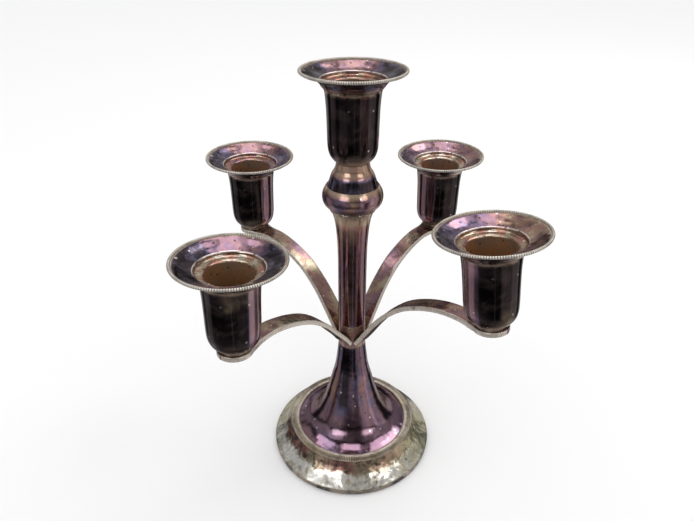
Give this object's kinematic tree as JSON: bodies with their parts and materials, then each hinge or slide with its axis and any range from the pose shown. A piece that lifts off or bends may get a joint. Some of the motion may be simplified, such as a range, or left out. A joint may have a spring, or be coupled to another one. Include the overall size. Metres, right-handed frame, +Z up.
{
  "type": "tabletop candelabra",
  "caption": "Tabletop candelabra: a weighted spun foot, bent strip arms around a tall column, and beaded drip pans with lift-out candle nozzles.",
  "frame": {"origin": "middle of the foot's resting face, on the column's axis", "axes": "+Z up along the column's axis; the arms point along the diagonals between X and Y, with -Y to the front"},
  "size_m": [0.1676, 0.1695, 0.2367],
  "materials": {
    "tarnished_plate": "silver plate on spun brass, mirror smooth, tarnished plum, blue and near black",
    "worn_plate": "silver plate on brass strip, tarnished on its faces and worn pale along its edges",
    "bright_plate": "beaded silver-plated wire, worn pale silver with a yellow-grey cast",
    "plain_steel": "plain turned steel",
    "bare_brass": "turned brass, unplated",
    "poured_weight": "poured pitch and plaster, dull black brown",
    "felt": "green felt, short nap"
  },
  "bodies": {
    "foot": {"foot_shell": "tarnished_plate", "foot_bead_ring": "bright_plate", "foot_weight": "poured_weight", "base_plate": "plain_steel", "felt_pad": "felt", "foot_rod": "plain_steel", "foot_rod_washer": "plain_steel", "foot_rod_nut": "plain_steel", "stem_bush": "bare_brass"},
    "branches": {"branch_collar": "worn_plate", "front_right_arm": "worn_plate", "back_right_arm": "worn_plate", "back_left_arm": "worn_plate", "front_left_arm": "worn_plate", "front_right_cup_collar": "bright_plate", "back_right_cup_collar": "bright_plate", "back_left_cup_collar": "bright_plate", "front_left_cup_collar": "bright_plate", "front_right_cup": "tarnished_plate", "back_right_cup": "tarnished_plate", "back_left_cup": "tarnished_plate", "front_left_cup": "tarnished_plate", "front_right_cup_screw": "bare_brass", "back_right_cup_screw": "bare_brass", "back_left_cup_screw": "bare_brass", "front_left_cup_screw": "bare_brass", "front_right_cup_nut": "bare_brass", "back_right_cup_nut": "bare_brass", "back_left_cup_nut": "bare_brass", "front_left_cup_nut": "bare_brass"},
    "column": {"column_stud": "plain_steel", "stem_plug": "bare_brass", "upper_stem": "tarnished_plate", "seam_ring": "bright_plate", "knop_ring": "tarnished_plate", "knop_dome": "tarnished_plate", "column_rod": "plain_steel", "centre_cup": "tarnished_plate", "centre_cup_nut": "plain_steel"},
    "front_right_holder": {"front_right_nozzle": "tarnished_plate", "front_right_bead_rim": "bright_plate"},
    "back_right_holder": {"back_right_nozzle": "tarnished_plate", "back_right_bead_rim": "bright_plate"},
    "back_left_holder": {"back_left_nozzle": "tarnished_plate", "back_left_bead_rim": "bright_plate"},
    "front_left_holder": {"front_left_nozzle": "tarnished_plate", "front_left_bead_rim": "bright_plate"},
    "centre_holder": {"centre_nozzle": "tarnished_plate", "centre_bead_rim": "bright_plate"}
  },
  "joints": [
    {"name": "branch_swivel", "type": "hinge", "parent": "foot", "child": "branches", "pos_m": [0, 0, 0.0768], "axis": [0, 0, 1], "continuous": true},
    {"name": "column_lift", "type": "slide", "parent": "branches", "child": "column", "axis": [0, 0, 1], "range_m": [0, 0.03]},
    {"name": "front_right_nozzle_lift", "type": "slide", "parent": "branches", "child": "front_right_holder", "axis": [-0.0908, 0.0937, 0.9914], "range_m": [0, 0.03]},
    {"name": "back_right_nozzle_lift", "type": "slide", "parent": "branches", "child": "back_right_holder", "axis": [-0.016, -0.0161, 0.9997], "range_m": [0, 0.03]},
    {"name": "back_left_nozzle_lift", "type": "slide", "parent": "branches", "child": "back_left_holder", "axis": [0.0197, -0.0198, 0.9996], "range_m": [0, 0.03]},
    {"name": "front_left_nozzle_lift", "type": "slide", "parent": "branches", "child": "front_left_holder", "axis": [0.0364, 0.0376, 0.9986], "range_m": [0, 0.03]},
    {"name": "centre_nozzle_lift", "type": "slide", "parent": "column", "child": "centre_holder", "axis": [0, 0, 1], "range_m": [0, 0.03]}
  ]
}
